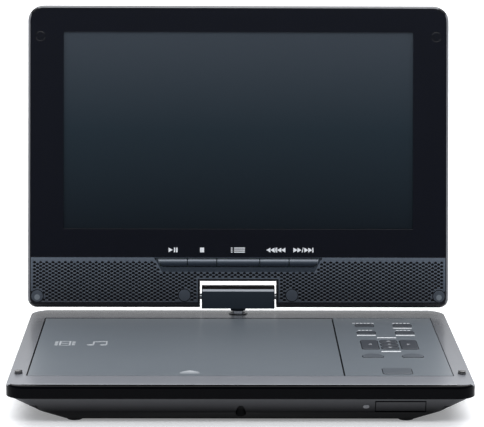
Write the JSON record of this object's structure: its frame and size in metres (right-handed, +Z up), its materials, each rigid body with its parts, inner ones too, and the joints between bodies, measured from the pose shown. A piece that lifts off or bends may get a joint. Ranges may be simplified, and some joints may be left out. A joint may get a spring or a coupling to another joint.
{
  "type": "portable dvd player",
  "caption": "Clamshell portable disc player: a widescreen lid on a tilt and swivel hinge over a wedge-sided base with a disc door, keypad and drive.",
  "frame": {"origin": "centre of the footprint of the player standing open, on the table plane under the feet", "axes": "+X to the player's right as seen from its front, +Y to the back, +Z up"},
  "size_m": [0.24, 0.2028, 0.1955],
  "materials": {
    "lid_black": "satin moulded black",
    "lid_back_black": "satin black",
    "window_gloss": "high gloss black",
    "screen_face": "antiglare",
    "speaker_black": "matte",
    "circuit_board": "solder mask",
    "steel": "bright",
    "post_chrome": "polished",
    "hinge_black": "satin",
    "key_gloss": "gloss",
    "satin_grey": "satin grey",
    "key_grey": "satin",
    "shell_black": "fine texture",
    "matte_black": "matte",
    "rubber": "matte",
    "clear_lens": "clear",
    "battery_wrap": "film wrap"
  },
  "bodies": {
    "base": {"base_bottom_shell": "shell_black", "base_top_cover": "satin_grey", "control_fascia": "satin_grey", "disc_deck": "matte_black", "drive_chassis": "steel", "spindle_motor": "steel", "feed_motor": "steel", "guide_rods": "steel", "chassis_dampers": "rubber", "main_board": "circuit_board", "battery_pack": "battery_wrap", "key_board": "circuit_board", "rubber_feet": "rubber", "lid_bumpers": "rubber", "base_screws": "steel", "socket_panel": "matte_black", "jack_sockets": "matte_black", "card_reader": "steel", "charge_lens": "clear_lens", "swivel_bracket": "steel", "volume_pot": "steel"},
    "hinge": {"hinge_block": "hinge_black", "swivel_post": "post_chrome"},
    "lid": {"lid_front_frame": "lid_black", "lid_rear_cover": "lid_back_black", "screen_window": "window_gloss", "lcd_panel": "screen_face", "speakers": "speaker_black", "display_board": "circuit_board", "lid_key_board": "circuit_board", "lid_screw_plugs": "lid_black", "lid_screws": "steel", "left_hinge_arm": "steel", "right_hinge_arm": "steel"},
    "door": {"disc_door": "satin_grey"},
    "latch": {"door_latch": "matte_black"},
    "flap": {"port_flap": "shell_black"},
    "dial": {"volume_dial": "matte_black"},
    "switch": {"power_switch": "matte_black"},
    "platter": {"turntable": "matte_black"},
    "sled": {"laser_sled": "matte_black", "pickup_lens": "clear_lens"},
    "screw": {"feed_screw": "steel"},
    "play_key": {"play_key": "key_gloss"},
    "stop_key": {"stop_key": "key_gloss"},
    "menu_key": {"menu_key": "key_gloss"},
    "back_key": {"back_key": "key_gloss"},
    "forward_key": {"forward_key": "key_gloss"},
    "setup_key": {"setup_key": "key_grey"},
    "subtitle_key": {"subtitle_key": "key_grey"},
    "display_key": {"display_key": "key_grey"},
    "audio_key": {"audio_key": "key_grey"},
    "up_key": {"up_key": "key_grey"},
    "down_key": {"down_key": "key_grey"},
    "left_key": {"left_key": "key_grey"},
    "right_key": {"right_key": "key_grey"},
    "enter_key": {"enter_key": "key_grey"},
    "return_key": {"return_key": "key_grey"},
    "repeat_key": {"repeat_key": "key_grey"},
    "source_key": {"source_key": "key_grey"}
  },
  "joints": [
    {"name": "swivel", "type": "hinge", "parent": "base", "child": "hinge", "pos_m": [0, 0.06462, 0.021], "axis": [0, 0, 1], "range_deg": [-180, 0]},
    {"name": "tilt", "type": "hinge", "parent": "hinge", "child": "lid", "pos_m": [0, 0.06462, 0.0309], "axis": [-1, 0, 0], "range_deg": [-100.2, 79.8]},
    {"name": "door_hinge", "type": "hinge", "parent": "base", "child": "door", "pos_m": [-0.028, 0.05047, 0.01985], "axis": [-1, 0, 0], "range_deg": [0, 75]},
    {"name": "latch_slide", "type": "slide", "parent": "base", "child": "latch", "axis": [0, -1, 0], "range_m": [0, 0.003], "stiffness_N_per_m": 200},
    {"name": "flap_hinge", "type": "hinge", "parent": "base", "child": "flap", "pos_m": [0.0808, -0.09671, 0.00747], "axis": [1, 0, 0], "range_deg": [0, 90]},
    {"name": "volume_turn", "type": "hinge", "parent": "base", "child": "dial", "pos_m": [0.1072, -0.06938, 0.0105], "axis": [0, 0, 1], "range_deg": [-135, 135]},
    {"name": "power_slide", "type": "slide", "parent": "base", "child": "switch", "axis": [0, 1, 0], "range_m": [0, 0.004]},
    {"name": "disc_spin", "type": "hinge", "parent": "base", "child": "platter", "pos_m": [-0.028, -0.01468, 0.014], "axis": [0, 0, 1], "continuous": true},
    {"name": "sled_slide", "type": "slide", "parent": "base", "child": "sled", "axis": [0, -1, 0], "range_m": [0, 0.034]},
    {"name": "feed_turn", "type": "hinge", "parent": "base", "child": "screw", "pos_m": [-0.001, -0.05468, 0.0096], "axis": [0, 1, 0], "range_deg": [-5, 4100]},
    {"name": "play_press", "type": "slide", "parent": "lid", "child": "play_key", "axis": [0, 0.9842, -0.1771], "range_m": [0, 0.0005], "stiffness_N_per_m": 400},
    {"name": "stop_press", "type": "slide", "parent": "lid", "child": "stop_key", "axis": [0, 0.9842, -0.1771], "range_m": [0, 0.0005], "stiffness_N_per_m": 400},
    {"name": "menu_press", "type": "slide", "parent": "lid", "child": "menu_key", "axis": [0, 0.9842, -0.1771], "range_m": [0, 0.0005], "stiffness_N_per_m": 400},
    {"name": "back_press", "type": "slide", "parent": "lid", "child": "back_key", "axis": [0, 0.9842, -0.1771], "range_m": [0, 0.0005], "stiffness_N_per_m": 400},
    {"name": "forward_press", "type": "slide", "parent": "lid", "child": "forward_key", "axis": [0, 0.9842, -0.1771], "range_m": [0, 0.0005], "stiffness_N_per_m": 400},
    {"name": "setup_press", "type": "slide", "parent": "base", "child": "setup_key", "axis": [0, 0, -1], "range_m": [0, 0.0005], "stiffness_N_per_m": 400},
    {"name": "subtitle_press", "type": "slide", "parent": "base", "child": "subtitle_key", "axis": [0, 0, -1], "range_m": [0, 0.0005], "stiffness_N_per_m": 400},
    {"name": "display_press", "type": "slide", "parent": "base", "child": "display_key", "axis": [0, 0, -1], "range_m": [0, 0.0005], "stiffness_N_per_m": 400},
    {"name": "audio_press", "type": "slide", "parent": "base", "child": "audio_key", "axis": [0, 0, -1], "range_m": [0, 0.0005], "stiffness_N_per_m": 400},
    {"name": "up_press", "type": "slide", "parent": "base", "child": "up_key", "axis": [0, 0, -1], "range_m": [0, 0.0005], "stiffness_N_per_m": 400},
    {"name": "down_press", "type": "slide", "parent": "base", "child": "down_key", "axis": [0, 0, -1], "range_m": [0, 0.0005], "stiffness_N_per_m": 400},
    {"name": "left_press", "type": "slide", "parent": "base", "child": "left_key", "axis": [0, 0, -1], "range_m": [0, 0.0005], "stiffness_N_per_m": 400},
    {"name": "right_press", "type": "slide", "parent": "base", "child": "right_key", "axis": [0, 0, -1], "range_m": [0, 0.0005], "stiffness_N_per_m": 400},
    {"name": "enter_press", "type": "slide", "parent": "base", "child": "enter_key", "axis": [0, 0, -1], "range_m": [0, 0.0005], "stiffness_N_per_m": 400},
    {"name": "return_press", "type": "slide", "parent": "base", "child": "return_key", "axis": [0, 0, -1], "range_m": [0, 0.0005], "stiffness_N_per_m": 400},
    {"name": "repeat_press", "type": "slide", "parent": "base", "child": "repeat_key", "axis": [0, 0, -1], "range_m": [0, 0.0005], "stiffness_N_per_m": 400},
    {"name": "source_press", "type": "slide", "parent": "base", "child": "source_key", "axis": [0, 0, -1], "range_m": [0, 0.0005], "stiffness_N_per_m": 400}
  ],
  "couplings": [
    {"joint": "feed_turn", "follows": "sled_slide", "rad_per_m": 2094.4}
  ]
}
